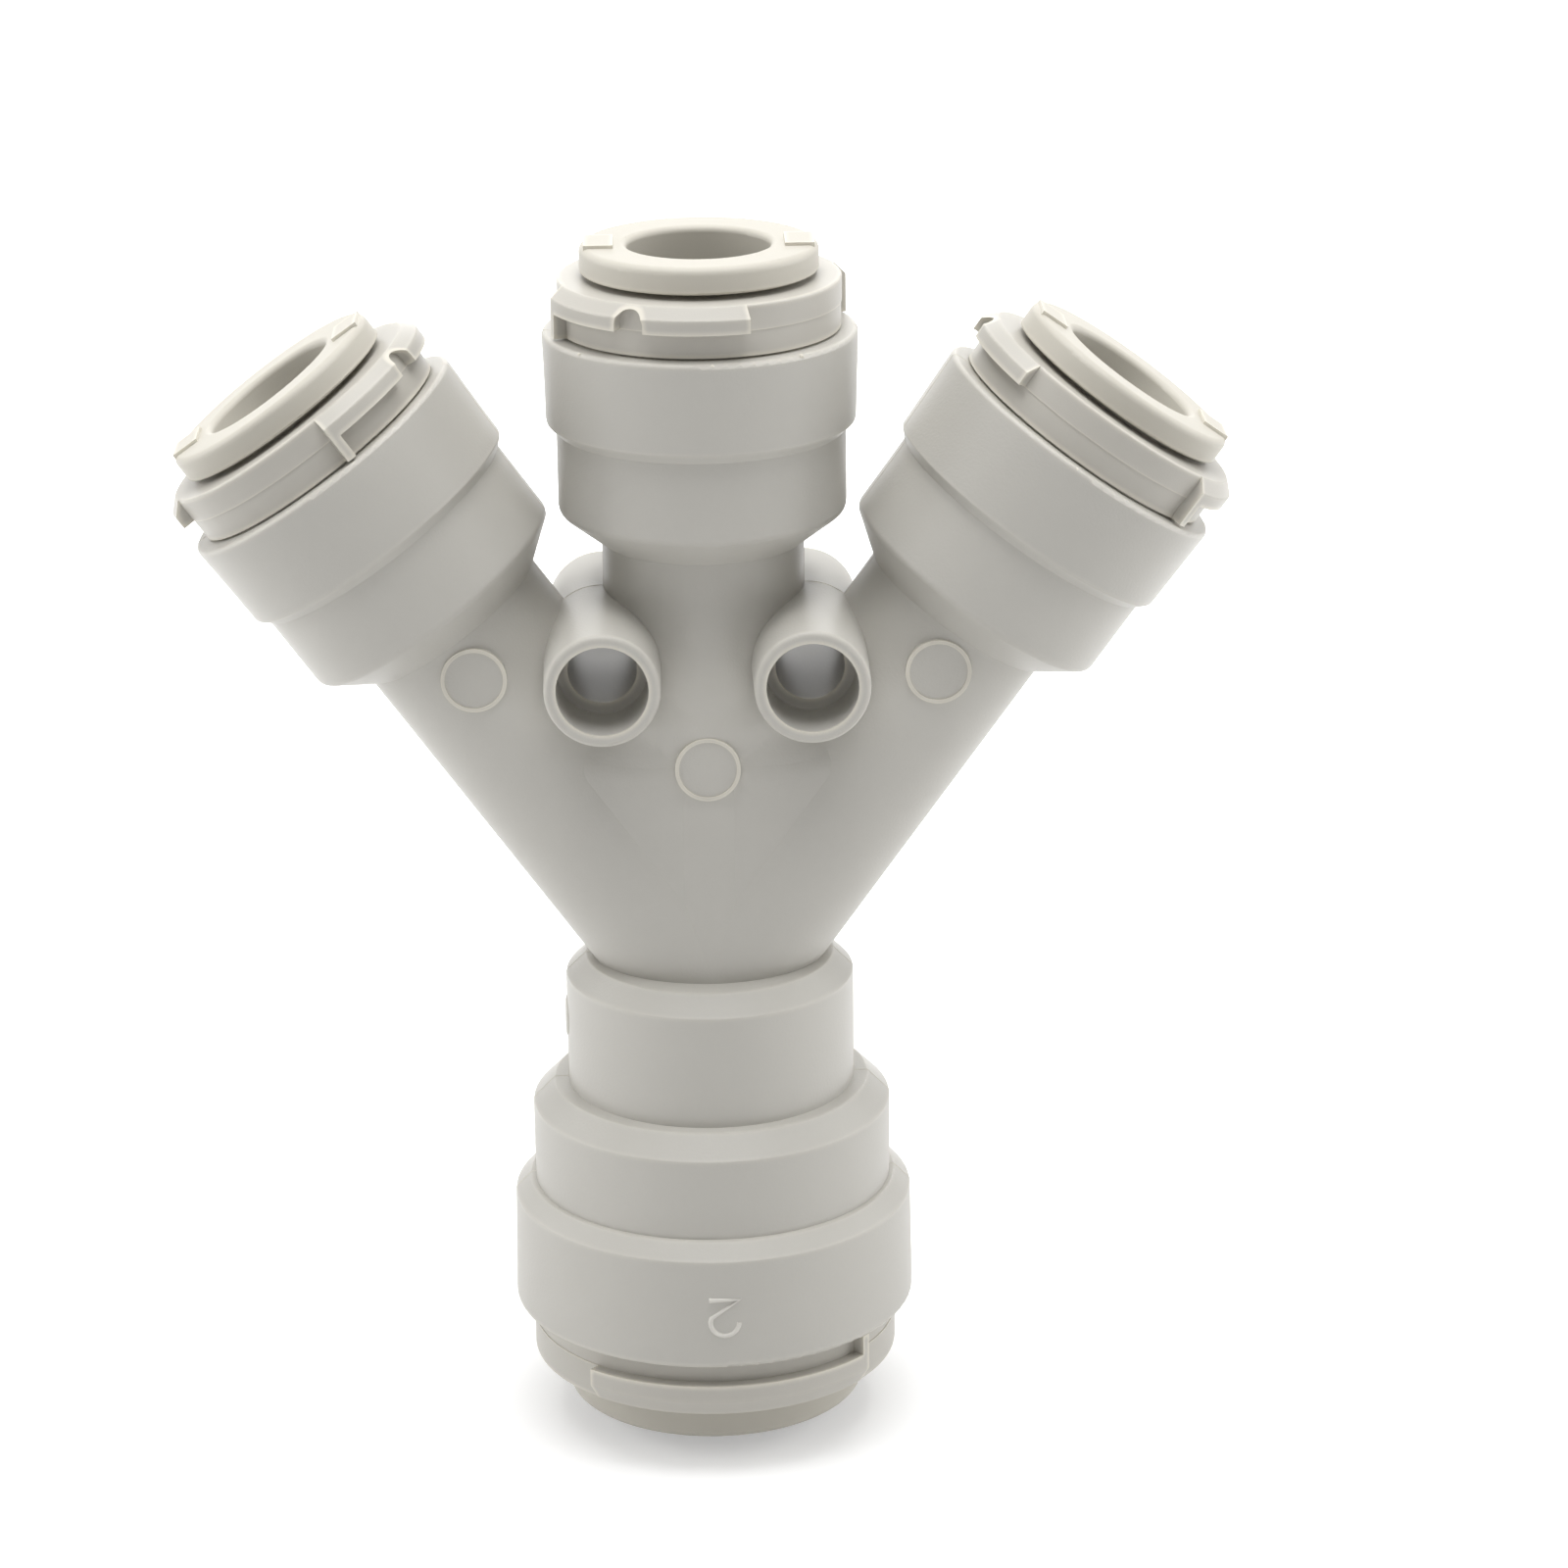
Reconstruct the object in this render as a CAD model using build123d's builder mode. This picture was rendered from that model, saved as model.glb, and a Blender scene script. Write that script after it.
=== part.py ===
from build123d import *
import os
from dataclasses import dataclass
from math import cos, degrees, radians, sin, sqrt, tan

os.makedirs("parts", exist_ok=True)

# A push-fit tube divider: one 3/8 in inlet at the bottom feeds three 1/4 in outlets that
# fan out in one plane. Each port holds an O-ring, a retaining cap and a release collet
# with gripping teeth. Millimetres, +Z up through the inlet and the middle outlet, +Y
# towards the back, origin on the floor below the trunk, where the inlet collet stands.
# Along a port, heights are counted outwards from its mouth and depths inwards.

# Layout
branch_angle = 35.6           # each side outlet leans this far from the middle one
outlet_reach = 30.3           # where the axes cross, to each outlet's mouth
inlet_reach = 17.86           # where the axes cross, down to the inlet's mouth

# Tubes that push in
outlet_tube_radius = 3.175    # 1/4 in tube
inlet_tube_radius = 4.7625    # 3/8 in tube
tube_clearance = 0.125        # round the tube, in the collet
seat_clearance = 0.075        # round the tube, in the body
seat_lead_in = 0.3
outlet_seat_depth = 12.5      # mouth to the shoulder that stops the tube
inlet_seat_depth = 13.9
outlet_flow_radius = 2.3
inlet_flow_radius = 3.6

# Outlet cups, outside
neck_radius = 4.7             # the tubes that join in the fork
cup_rim_radius = 7.28
cup_draft = 0.12              # the rim band is this much slimmer at its inner end
cup_band_length = 4.24
cup_waist_radius = 6.69
cup_length = 8.5              # mouth to the start of the cone
cup_cone_angle = 52.5         # cone to the port's axis
cup_shoulder_round = 0.5

# Trunk rings, outside, counted down from the fork
ring_1_drop = 0.28            # where the axes cross, to the first ring's top
ring_1_radius = 6.88
ring_1_chamfer = 0.95
ring_2_drop = 6.7
ring_2_radius = 8.6
ring_2_chamfer = 1.05
ring_3_drop = 11.68
ring_3_radius = 9.68
ring_3_chamfer = 0.76
ring_3_draft = 0.1
rim_round = 0.2               # round each port's mouth
edge_round = 0.12             # other outer edges

# Web between the outlets, and the two screw bosses in it
web_crease = 1.2              # the web's flat faces meet the tubes this far off their axes
web_height = 13.2             # where the axes cross, to the web's top edge
web_round = 3.4               # its long top edges
boss_height = 15.28           # where the axes cross, to the screw axes
boss_spacing = 9.59
boss_radius = 2.68            # at the front face
boss_draft = 0.5              # degrees, from the front face to the middle plane
boss_step = 0.1               # the back half is this much slimmer than the front one
boss_round = 0.25
boss_front = 7.86             # middle plane to the front face
boss_back = 6.1
screw_radius = 1.6
screw_head_radius = 2.12
screw_head_depth = 3.35

# Pads that the ejector pins leave on the front of the outlet tubes
pad_radius = 1.35
pad_proud = 0.04              # past the front of the tube
pad_rim_width = 0.18
pad_rim_height = 0.06
middle_pad_reach = 10.4       # where the axes cross, to the pad
side_pad_reach = 18.4

# Retaining caps
cap_clearance = 0.05          # round the skirt, in the cup
outlet_cap_height = 2.49      # mouth to the cap's top
inlet_cap_height = 2.8
collar_gap = 0.12             # mouth to the collar, with the skirt's tip on its seat
collar_step = 0.04            # the collar is this much slimmer below the lips' foot
outlet_skirt_depth = 4.2      # depth of the cup's bore that takes the skirt
inlet_skirt_depth = 4.7
outlet_cup_wall = 1.03        # round the skirt, at the mouth
inlet_cup_wall = 1.33
outlet_collar_inset = 0.74    # the collar is this much slimmer than the mouth's rim
inlet_collar_inset = 0.84
throat_depth = 1.3            # mouth to where the bore starts to flare
flare_wall = 0.85             # skirt left round the flared end of the bore
lip_proud = 0.56              # lips past the collar
outlet_lip_foot = 1.29        # mouth to the lips' lower edge
inlet_lip_foot = 1.1
lip_crest = 1.94              # mouth to the foot of the lips' chamfer
lip_span = 91.5               # degrees, each of the two lips
lip_notch_radius = 0.72
lip_notch_height = 1.6        # mouth to the centre of the notch's round top
lip_post_width = 0.45

# Release collets
flange_gap = 0.267            # cap's top to the flange, at rest
outlet_flange_thickness = 1.233
inlet_flange_thickness = 1.85
outlet_flange_radius = 5.5
inlet_flange_radius = 7.2
flange_round = 0.35
entry_round = 0.3
sleeve_wall = 1.0
sleeve_clearance = 0.15       # round the sleeve, in the cap
collet_travel = 1.1           # outwards, from rest
travel_end_gap = 0.2          # left between the wedge faces there
wedge_angle = 30.0            # wedge faces to the port's axis
bump_height = 0.7             # fingers swell by this past the sleeve
bump_land = 0.45              # straight end of each finger past its wedge
finger_count = 6
slit_width = 0.7
slit_top = 1.0                # mouth to the slits' closed ends
finger_relief = 0.25          # bore opened out beside the teeth
mark_radius = 4.6             # raised bars on the outlet flanges
mark_length = 1.35
mark_width = 2.3
mark_height = 0.15

# Gripping teeth
tooth_bite = 0.12             # reach past the tube's skin, inwards
tooth_root = 0.45             # let into the finger
tooth_thickness = 0.35
tooth_edge = 0.1
tooth_rake = 25.0             # degrees from square, leaning inwards
tooth_width = 1.7
tooth_setback = 0.95          # tip of the finger to the tooth's outer face

# O-rings and their glands
outlet_ring_section = 1.0     # radius of the round section
inlet_ring_section = 1.15
outlet_gland_radius = 5.1
inlet_gland_radius = 6.9
gland_clearance = 0.05
gland_play = 0.4              # the gland is this much longer than the ring's section

# Sizes and places that follow
outlet_skirt_radius = cup_rim_radius - outlet_cup_wall - cap_clearance
inlet_skirt_radius = ring_3_radius - inlet_cup_wall - cap_clearance
outlet_wall_radius = cup_rim_radius - outlet_collar_inset
inlet_wall_radius = ring_3_radius - inlet_collar_inset
inlet_face_height = inlet_cap_height + flange_gap + inlet_flange_thickness
wedge_slope = tan(radians(wedge_angle))
wedge_start = throat_depth + collet_travel + travel_end_gap - sleeve_clearance / wedge_slope
wedge_end = wedge_start + bump_height / wedge_slope
finger_depth = wedge_end + bump_land
cone_length = (cup_waist_radius - neck_radius) / tan(radians(cup_cone_angle))
web_half_thickness = sqrt(neck_radius**2 - web_crease**2)
junction = Vector(0, 0, inlet_reach + inlet_face_height)
front = Plane(origin=junction, x_dir=(1, 0, 0), z_dir=(0, -1, 0))


@dataclass
class Port:
    """One port: where it is, and the sizes that differ between 1/4 in and 3/8 in."""

    name: str
    lean: float               # degrees from upright, towards +X
    reach: float              # where the axes cross, to the mouth
    lip_start: float          # degrees round the axis to the first lip's post
    tube_radius: float
    seat_depth: float
    flow_radius: float
    skirt_depth: float
    skirt_radius: float
    wall_radius: float
    cap_height: float
    lip_foot: float
    notched: bool             # its lips have a notch each
    flange_radius: float
    flange_thickness: float
    gland_radius: float
    ring_section: float

    def __post_init__(self):
        lean = radians(self.lean)
        outwards = Vector(sin(lean), 0, cos(lean))
        across = Vector(abs(cos(lean)), 0, -sin(lean))
        self.mouth = Plane(origin=junction + outwards * self.reach, x_dir=across, z_dir=outwards)
        self.axis = Axis(self.mouth.origin, outwards)
        self.flange_foot = self.cap_height + flange_gap
        self.face_height = self.flange_foot + self.flange_thickness
        self.collet_bore = self.tube_radius + tube_clearance
        self.sleeve_radius = self.collet_bore + sleeve_wall
        self.finger_bore = self.collet_bore + finger_relief
        self.throat_radius = self.sleeve_radius + sleeve_clearance
        self.flare_radius = self.skirt_radius - flare_wall
        self.flare_depth = throat_depth + (self.flare_radius - self.throat_radius) / wedge_slope
        self.gland_depth = self.skirt_depth + 2 * self.ring_section + gland_play

    def section(self, azimuth=0.0):
        """Plane through the axis: local x outwards from it, local y along it."""
        turn = radians(azimuth)
        across = self.mouth.x_dir * cos(turn) + self.mouth.y_dir * sin(turn)
        return Plane(origin=self.mouth.origin, x_dir=across, z_dir=across.cross(self.mouth.z_dir))

    def outward_plane(self, azimuth):
        """Plane along the axis: local x round the port, local y along it, facing outwards."""
        section = self.section(azimuth)
        return Plane(origin=section.origin, x_dir=-section.z_dir, z_dir=section.x_dir)


def outlet(name, lean, lip_start):
    return Port(
        name=name,
        lean=lean,
        reach=outlet_reach,
        lip_start=lip_start,
        tube_radius=outlet_tube_radius,
        seat_depth=outlet_seat_depth,
        flow_radius=outlet_flow_radius,
        skirt_depth=outlet_skirt_depth,
        skirt_radius=outlet_skirt_radius,
        wall_radius=outlet_wall_radius,
        cap_height=outlet_cap_height,
        lip_foot=outlet_lip_foot,
        notched=True,
        flange_radius=outlet_flange_radius,
        flange_thickness=outlet_flange_thickness,
        gland_radius=outlet_gland_radius,
        ring_section=outlet_ring_section,
    )


outlets = [
    outlet("left", -branch_angle, lip_start=288.0),
    outlet("middle", 0.0, lip_start=196.5),
    outlet("right", branch_angle, lip_start=133.5),
]
inlet = Port(
    name="inlet",
    lean=180.0,
    reach=inlet_reach,
    lip_start=39.0,
    tube_radius=inlet_tube_radius,
    seat_depth=inlet_seat_depth,
    flow_radius=inlet_flow_radius,
    skirt_depth=inlet_skirt_depth,
    skirt_radius=inlet_skirt_radius,
    wall_radius=inlet_wall_radius,
    cap_height=inlet_cap_height,
    lip_foot=inlet_lip_foot,
    notched=False,
    flange_radius=inlet_flange_radius,
    flange_thickness=inlet_flange_thickness,
    gland_radius=inlet_gland_radius,
    ring_section=inlet_ring_section,
)
ports = [inlet] + outlets


def round_corner(profile, corner, radius):
    """Round the corner of a profile that lies nearest to a point."""
    fillet(profile.vertices().sort_by_distance(corner)[0], radius)


# Body: one moulding with the trunk, the three cups, the web and the bosses
with BuildPart() as body:
    # Flat web that fills the fork, thinning out at its top
    with BuildSketch(front):
        with BuildLine():
            web_reach = web_height * tan(radians(branch_angle))
            Polyline((0, 0), (web_reach, web_height), (-web_reach, web_height), close=True)
        make_face()
    extrude(amount=web_half_thickness, both=True)
    fillet(body.edges().filter_by(Axis.X), web_round)

    # Stepped trunk, turned round the inlet's axis
    trunk_corners = [
        (ring_1_radius - ring_1_chamfer, -ring_1_drop),
        (ring_1_radius, -ring_1_drop - ring_1_chamfer),
        (ring_2_radius - ring_2_chamfer, -ring_2_drop),
        (ring_2_radius, -ring_2_drop - ring_2_chamfer),
        (ring_3_radius - ring_3_draft - ring_3_chamfer, -ring_3_drop),
        (ring_3_radius - ring_3_draft, -ring_3_drop - ring_3_chamfer),
    ]
    with BuildSketch(front) as trunk:
        with BuildLine():
            Polyline(
                (0, 0),
                (neck_radius, 0),
                (neck_radius, -ring_1_drop),
                *trunk_corners[0:2],
                (ring_1_radius, -ring_2_drop),
                *trunk_corners[2:4],
                (ring_2_radius, -ring_3_drop),
                *trunk_corners[4:6],
                (ring_3_radius, -inlet_reach),
                (0, -inlet_reach),
                close=True,
            )
        make_face()
        for corner in trunk_corners:
            round_corner(trunk, corner, edge_round)
        round_corner(trunk, (ring_3_radius, -inlet_reach), rim_round)
    revolve(axis=Axis.Z)

    # Three outlet tubes, each ending in a cup
    band_radius = cup_rim_radius - cup_draft
    for port in outlets:
        with BuildSketch(port.section()) as cup:
            with BuildLine():
                Polyline(
                    (0, -outlet_reach),
                    (neck_radius, -outlet_reach),
                    (neck_radius, -cup_length - cone_length),
                    (cup_waist_radius, -cup_length),
                    (cup_waist_radius, -cup_band_length - (band_radius - cup_waist_radius)),
                    (band_radius, -cup_band_length),
                    (cup_rim_radius, 0),
                    (0, 0),
                    close=True,
                )
            make_face()
            round_corner(cup, (cup_waist_radius, -cup_length), cup_shoulder_round)
            round_corner(cup, (band_radius, -cup_band_length), edge_round)
            round_corner(cup, (cup_rim_radius, 0), rim_round)
        revolve(axis=port.axis)

    # Two bosses for screws, across the web, with a step where the mould's halves meet
    boss_root_radius = boss_radius + boss_front * tan(radians(boss_draft))
    with BuildSketch(front):
        with Locations((0, boss_height)):
            with GridLocations(boss_spacing, 0, 2, 1):
                Circle(boss_root_radius)
    extrude(amount=boss_front, taper=boss_draft)
    fillet(body.edges().group_by(Axis.Y)[0], boss_round)
    with BuildSketch(front):
        with Locations((0, boss_height)):
            with GridLocations(boss_spacing, 0, 2, 1):
                Circle(boss_root_radius - boss_step)
    extrude(amount=-boss_back, taper=boss_draft)

    # Ejector pads, each flat with a fine raised rim
    for port in outlets:
        reach = middle_pad_reach if port.lean == 0 else side_pad_reach
        place = (reach * sin(radians(port.lean)), reach * cos(radians(port.lean)))
        with BuildSketch(front):
            with Locations(place):
                Circle(pad_radius + pad_rim_width)
        extrude(amount=neck_radius + pad_proud + pad_rim_height)
        with BuildSketch(front.offset(neck_radius + pad_proud)):
            with Locations(place):
                Circle(pad_radius)
        extrude(amount=pad_rim_height, mode=Mode.SUBTRACT)

    # Each port's bore: cap seat, O-ring gland, tube seat and waterway
    for port in ports:
        cap_bore = port.skirt_radius + cap_clearance
        seat_radius = port.tube_radius + seat_clearance
        with BuildSketch(port.section()):
            with BuildLine():
                Polyline(
                    (0, 0),
                    (cap_bore, 0),
                    (cap_bore, -port.skirt_depth),
                    (port.gland_radius, -port.skirt_depth),
                    (port.gland_radius, -port.gland_depth),
                    (seat_radius + seat_lead_in, -port.gland_depth),
                    (seat_radius, -port.gland_depth - seat_lead_in),
                    (seat_radius, -port.seat_depth),
                    (port.flow_radius, -port.seat_depth),
                    (port.flow_radius, -port.reach),
                    (0, -port.reach),
                    close=True,
                )
            make_face()
        revolve(axis=port.axis, mode=Mode.SUBTRACT)

    # Screw holes with sunk heads, drilled from the front
    with Locations(front.offset(boss_front)):
        with Locations((0, boss_height)):
            with GridLocations(boss_spacing, 0, 2, 1):
                CounterBoreHole(screw_radius, screw_head_radius, screw_head_depth)

body.part.label = "body"
export_step(body.part, "parts/body.step")


def retaining_cap(port):
    """Collar and skirt that hold the collet in, with two lips for a locking clip."""
    lip_radius = port.wall_radius + lip_proud
    post_span = degrees(lip_post_width / lip_radius)
    with BuildPart() as cap:
        for start in (port.lip_start, port.lip_start + 180):
            # Lip, open below, with a chamfered top edge
            with BuildSketch(port.section(start)) as lip:
                with BuildLine():
                    Polyline(
                        (port.skirt_radius, port.lip_foot),
                        (lip_radius, port.lip_foot),
                        (lip_radius, lip_crest),
                        (port.wall_radius, port.cap_height),
                        (port.skirt_radius, port.cap_height),
                        close=True,
                    )
                make_face()
                round_corner(lip, (lip_radius, lip_crest), edge_round)
                round_corner(lip, (port.wall_radius, port.cap_height), edge_round)
            revolve(axis=port.axis, revolution_arc=lip_span)
            # Post that closes one end of the lip down to the collar's foot
            with BuildSketch(port.section(start)):
                with BuildLine():
                    Polyline(
                        (port.skirt_radius, collar_gap),
                        (lip_radius, collar_gap),
                        (lip_radius, port.lip_foot),
                        (port.skirt_radius, port.lip_foot),
                        close=True,
                    )
                make_face()
            revolve(axis=port.axis, revolution_arc=post_span)
            # Notch halfway along the lip
            if port.notched:
                with BuildSketch(port.outward_plane(start + lip_span / 2)):
                    with Locations((0, lip_notch_height)):
                        Circle(lip_notch_radius)
                        Rectangle(2 * lip_notch_radius, lip_notch_height, align=(Align.CENTER, Align.MAX))
                extrude(amount=lip_radius, mode=Mode.SUBTRACT)
        # Collar on the mouth, and skirt down to its seat in the cup
        with BuildSketch(port.section()) as wall:
            with BuildLine():
                Polyline(
                    (port.throat_radius, port.cap_height),
                    (port.wall_radius, port.cap_height),
                    (port.wall_radius, port.lip_foot),
                    (port.wall_radius - collar_step, port.lip_foot),
                    (port.wall_radius - collar_step, collar_gap),
                    (port.skirt_radius, collar_gap),
                    (port.skirt_radius, -port.skirt_depth),
                    (port.flare_radius, -port.skirt_depth),
                    (port.flare_radius, -port.flare_depth),
                    (port.throat_radius, -throat_depth),
                    close=True,
                )
            make_face()
            round_corner(wall, (port.wall_radius, port.cap_height), edge_round)
        revolve(axis=port.axis)
    return cap


def tooth_profile(port):
    """Section of one tooth: let into the finger, leaning inwards to a narrow edge."""
    root = port.finger_bore + tooth_root
    tip = port.tube_radius - tooth_bite
    top = tooth_setback - finger_depth
    lean = (root - tip) * tan(radians(tooth_rake))
    Polyline(
        (root, top),
        (tip, top - lean),
        (tip, top - lean - tooth_edge),
        (root, top - tooth_thickness),
        close=True,
    )


def tooth_starts(port):
    """Degrees round the port at which each tooth starts, one in the middle of each finger."""
    pitch = 360 / finger_count
    return [pitch * (finger + 0.5) - tooth_span(port) / 2 for finger in range(finger_count)]


def tooth_span(port):
    return degrees(tooth_width / port.collet_bore)


def release_collet(port):
    """Flanged sleeve with slit fingers that swell at their ends."""
    bump_radius = port.sleeve_radius + bump_height
    with BuildPart() as collet:
        with BuildSketch(port.section()) as sleeve:
            with BuildLine():
                Polyline(
                    (port.collet_bore, port.face_height),
                    (port.flange_radius, port.face_height),
                    (port.flange_radius, port.flange_foot),
                    (port.sleeve_radius, port.flange_foot),
                    (port.sleeve_radius, -wedge_start),
                    (bump_radius, -wedge_end),
                    (bump_radius, -finger_depth),
                    (port.finger_bore, -finger_depth),
                    (port.finger_bore, -wedge_start),
                    (port.collet_bore, -wedge_start),
                    close=True,
                )
            make_face()
            round_corner(sleeve, (port.flange_radius, port.face_height), flange_round)
            round_corner(sleeve, (port.flange_radius, port.flange_foot), edge_round)
            round_corner(sleeve, (port.collet_bore, port.face_height), entry_round)
        revolve(axis=port.axis)
        # Slits between the fingers
        with BuildSketch(port.mouth.offset(slit_top)):
            with PolarLocations(port.sleeve_radius, finger_count):
                Rectangle(2 * (bump_radius - port.collet_bore), slit_width)
        extrude(amount=-slit_top - finger_depth, mode=Mode.SUBTRACT)
        # Seats for the teeth
        for start in tooth_starts(port):
            with BuildSketch(port.section(start)):
                with BuildLine():
                    tooth_profile(port)
                make_face()
            revolve(axis=port.axis, revolution_arc=tooth_span(port), mode=Mode.SUBTRACT)
        # Raised bars on the outlets' faces
        if port is not inlet:
            with BuildSketch(port.mouth.offset(port.face_height - flange_round)):
                with PolarLocations(mark_radius, 2):
                    Rectangle(mark_length, mark_width)
            extrude(amount=flange_round + mark_height)
    return collet


def grip_teeth(port):
    """Steel teeth, one in each finger of the collet."""
    with BuildPart() as teeth:
        for start in tooth_starts(port):
            with BuildSketch(port.section(start)):
                with BuildLine():
                    tooth_profile(port)
                make_face()
            revolve(axis=port.axis, revolution_arc=tooth_span(port))
    return teeth


def o_ring(port):
    """Seal on the floor of the gland, round the tube."""
    centre_radius = port.gland_radius - gland_clearance - port.ring_section
    centre_depth = port.gland_depth - gland_clearance - port.ring_section
    with BuildPart() as ring:
        with BuildSketch(port.section()):
            with Locations((centre_radius, -centre_depth)):
                Circle(port.ring_section)
        revolve(axis=port.axis)
    return ring


for port in ports:
    cap = retaining_cap(port)
    cap.part.label = f"retaining_cap_{port.name}"
    export_step(cap.part, f"parts/retaining_cap_{port.name}.step")

    collet = release_collet(port)
    collet.part.label = f"release_collet_{port.name}"
    export_step(collet.part, f"parts/release_collet_{port.name}.step")

    teeth = grip_teeth(port)
    teeth.part.label = f"grip_teeth_{port.name}"
    export_step(teeth.part, f"parts/grip_teeth_{port.name}.step")

    ring = o_ring(port)
    ring.part.label = f"o_ring_{port.name}"
    export_step(ring.part, f"parts/o_ring_{port.name}.step")
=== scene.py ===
import math

import bmesh
import bpy
from mathutils import Matrix, Vector


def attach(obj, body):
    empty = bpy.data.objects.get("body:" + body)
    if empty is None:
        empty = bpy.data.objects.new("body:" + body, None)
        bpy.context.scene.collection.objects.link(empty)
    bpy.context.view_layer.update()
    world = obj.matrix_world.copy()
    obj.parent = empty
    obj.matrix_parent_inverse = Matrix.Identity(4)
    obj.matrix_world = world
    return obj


# A push-fit tube divider in light grey acetal: a stepped trunk on a 3/8 in inlet, three
# 1/4 in outlets in one plane, and in every mouth a retaining cap and a release collet.
# Metres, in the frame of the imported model: +Z up the trunk, -Y is the front.

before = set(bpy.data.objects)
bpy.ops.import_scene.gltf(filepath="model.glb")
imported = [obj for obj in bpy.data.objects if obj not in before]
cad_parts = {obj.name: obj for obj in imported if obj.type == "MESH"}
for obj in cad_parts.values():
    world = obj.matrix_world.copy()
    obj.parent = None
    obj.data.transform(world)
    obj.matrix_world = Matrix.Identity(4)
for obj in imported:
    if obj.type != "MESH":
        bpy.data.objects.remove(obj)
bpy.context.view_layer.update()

MM = 0.001

# Where the ports are, as in the model
BRANCH_ANGLE = math.radians(35.6)
INLET_REACH = 17.86 * MM
OUTLET_REACH = 30.3 * MM
JUNCTION = Vector((0, 0, 22.777 * MM))


def put_in_scene(name, data):
    """A new object that shows data, at the origin."""
    thing = bpy.data.objects.new(name, data)
    bpy.context.scene.collection.objects.link(thing)
    return thing


def smooth(mesh):
    """Rounds the shading over the mesh's faces."""
    for face in mesh.polygons:
        face.use_smooth = True


# ---------------------------------------------------------------- camera

IMAGE_SIZE = 1600             # pixels
FOCAL_PIXELS = 5029.7
SENSOR = 36.0                 # as Blender gives it, in mm
CAMERA_TARGET = JUNCTION + Vector((3.656, 0, 7.987)) * MM
CAMERA_DISTANCE = 233.95 * MM
CAMERA_AZIMUTH = math.radians(-1.639)
CAMERA_ELEVATION = math.radians(19.066)
CAMERA_ROLL = math.radians(-0.588)


def make_camera():
    """Looks at the fitting from the front and a little above."""
    data = bpy.data.cameras.new("camera")
    data.sensor_width = SENSOR
    data.lens = SENSOR * FOCAL_PIXELS / IMAGE_SIZE
    data.clip_start = 10 * MM
    data.clip_end = 10
    camera = put_in_scene("camera", data)
    back = Vector(
        (
            math.sin(CAMERA_AZIMUTH) * math.cos(CAMERA_ELEVATION),
            -math.cos(CAMERA_AZIMUTH) * math.cos(CAMERA_ELEVATION),
            math.sin(CAMERA_ELEVATION),
        )
    )
    turn = (-back).to_track_quat("-Z", "Y") @ Matrix.Rotation(CAMERA_ROLL, 3, "Z").to_quaternion()
    camera.rotation_mode = "QUATERNION"
    camera.rotation_quaternion = turn
    camera.location = CAMERA_TARGET + back * CAMERA_DISTANCE
    bpy.context.scene.camera = camera


make_camera()

# ---------------------------------------------------------------- studio

AMBIENT = 0.12
TENT_WHITE = (1.0, 0.997, 0.99)
PAPER_WHITE = 0.8
PAPER_LIFT = 0.35             # added to the paper near the fitting where it is seen
FLOOR_HALF = 0.6
FLOOR_DROP = 1.2 * MM         # the inlet collet slides 1.1 mm down
SHADOW_REACH = 30 * MM
WHITE_REACH = 110 * MM
LAMP_AIM = (0, 0, 0.028)
LAMPS = (  # name, place, side of the square, power
    ("overhead", (0, 0, 0.42), 0.36, 1.75),
    ("front_top", (0, -0.25, 0.34), 0.36, 0.28),
    ("left_side", (-0.42, 0.05, 0.14), 0.35, 1.0),
    ("right_side", (0.42, 0.05, 0.14), 0.35, 1.0),
    ("behind", (0, 0.42, 0.13), 0.35, 0.45),
)


def seen_directly(tree):
    """1 for camera, glossy and transmission rays, 0 for the light that falls on things."""
    path = tree.nodes.new("ShaderNodeLightPath")
    seen = path.outputs["Is Camera Ray"]
    for label in ("Is Glossy Ray", "Is Transmission Ray"):
        either = tree.nodes.new("ShaderNodeMath")
        either.operation = "MAXIMUM"
        tree.links.new(seen, either.inputs[0])
        tree.links.new(path.outputs[label], either.inputs[1])
        seen = either.outputs[0]
    return seen


def make_world():
    """A dim white tent that is plain white where it is seen or mirrored."""
    world = bpy.data.worlds.new("light_tent")
    bpy.context.scene.world = world
    world.use_nodes = True
    tree = world.node_tree
    tree.nodes.clear()
    tent = tree.nodes.new("ShaderNodeBackground")
    tent.inputs["Color"].default_value = (*TENT_WHITE, 1)
    tent.inputs["Strength"].default_value = AMBIENT
    plain = tree.nodes.new("ShaderNodeBackground")
    plain.inputs["Color"].default_value = (1, 1, 1, 1)
    mix = tree.nodes.new("ShaderNodeMixShader")
    out = tree.nodes.new("ShaderNodeOutputWorld")
    tree.links.new(seen_directly(tree), mix.inputs[0])
    tree.links.new(tent.outputs[0], mix.inputs[1])
    tree.links.new(plain.outputs[0], mix.inputs[2])
    tree.links.new(mix.outputs[0], out.inputs[0])


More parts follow.
